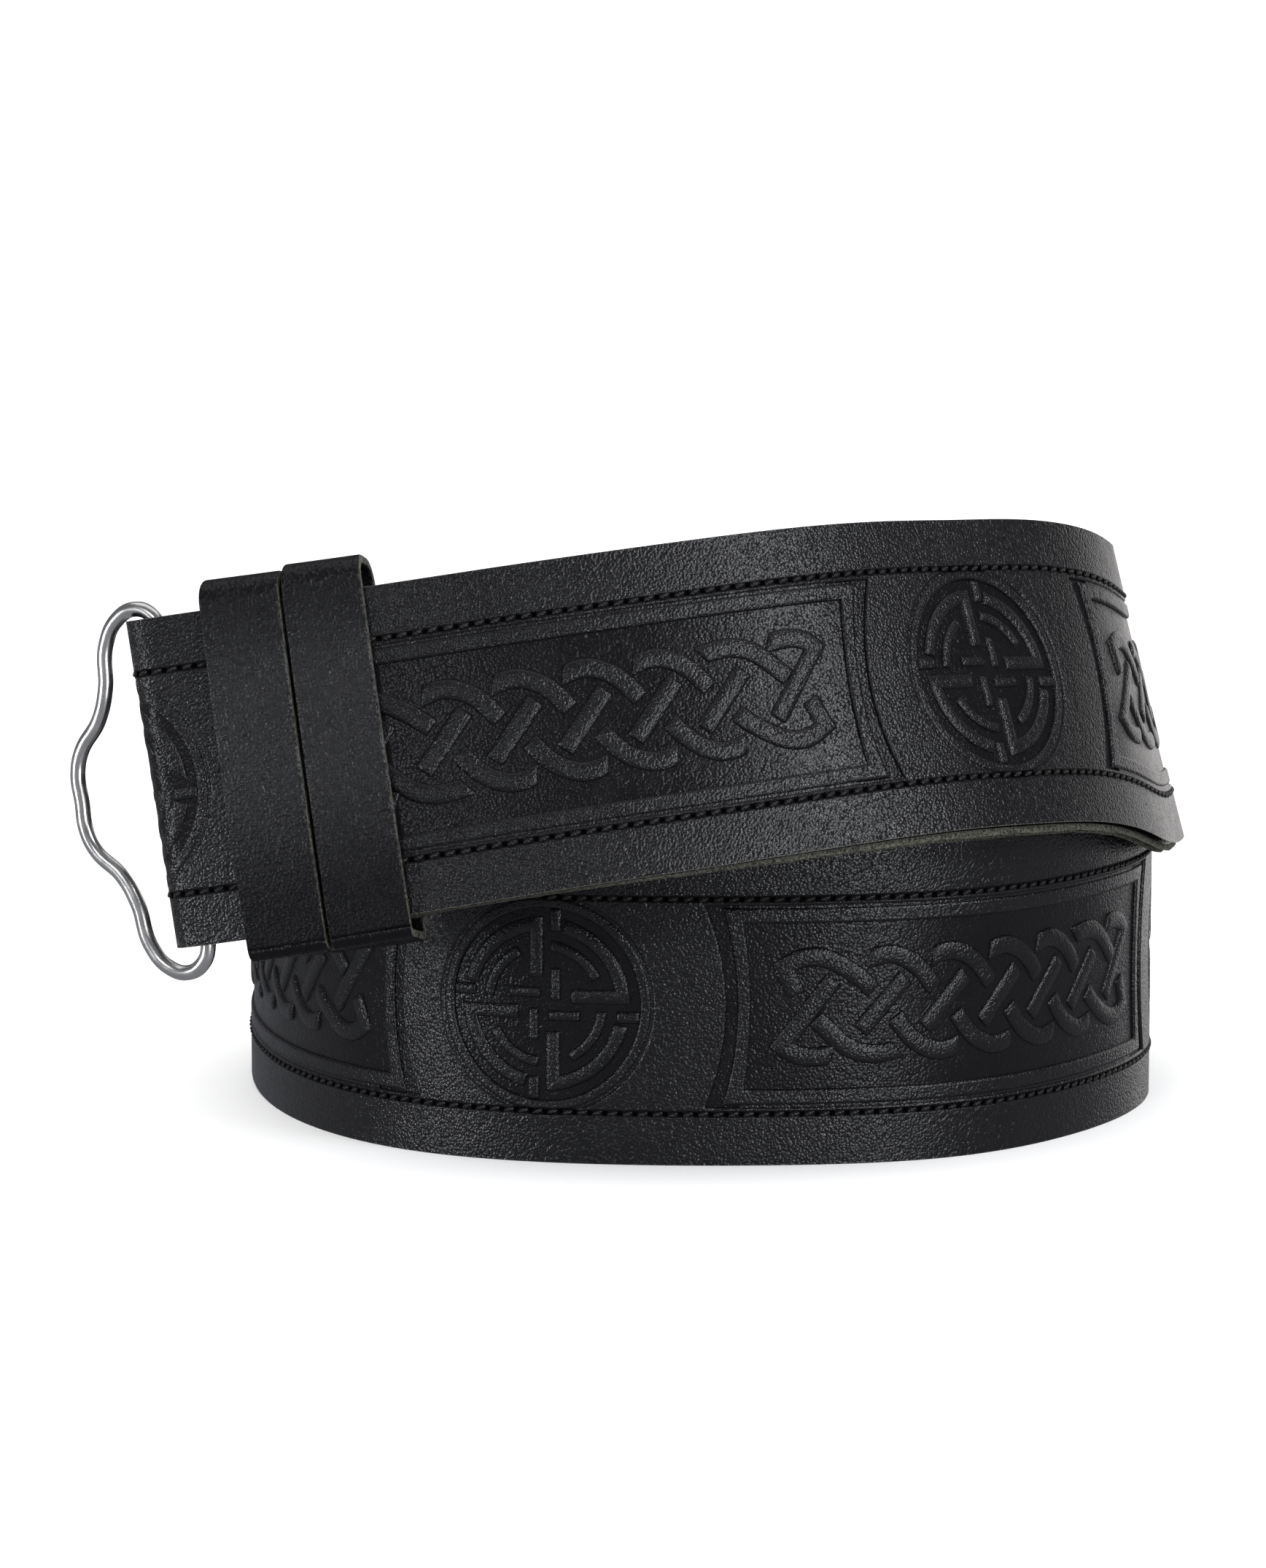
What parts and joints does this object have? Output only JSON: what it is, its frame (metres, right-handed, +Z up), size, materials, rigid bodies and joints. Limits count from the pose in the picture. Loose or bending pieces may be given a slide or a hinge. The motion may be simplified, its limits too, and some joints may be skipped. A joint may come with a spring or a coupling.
{
  "type": "kilt belt",
  "caption": "Coiled leather kilt belt with embossed knot panels, stitched edges, a wire buckle loop in its folded end and leather keepers.",
  "frame": {"origin": "middle of the belt's box, on the surface that the coil stands on", "axes": "+Z up, across the strap's width; -Y towards the front, where the buckle end lies; +X to the right as seen from the front"},
  "size_m": [0.2042, 0.223, 0.1138],
  "materials": {
    "face_leather": "satin embossed grain",
    "backing_leather": "matt smooth",
    "keeper_leather": "matt fine grain",
    "nickel_plate": "polished",
    "stitch_thread": "waxed twisted thread"
  },
  "bodies": {
    "root": {"strap_face_1": "face_leather", "strap_face_2": "face_leather", "strap_face_3": "face_leather", "strap_face_4": "face_leather", "strap_backing_1": "backing_leather", "strap_backing_2": "backing_leather", "strap_backing_3": "backing_leather", "strap_backing_4": "backing_leather", "buckle_loop": "nickel_plate", "keeper_1": "keeper_leather", "keeper_2": "keeper_leather"}
  },
  "joints": []
}
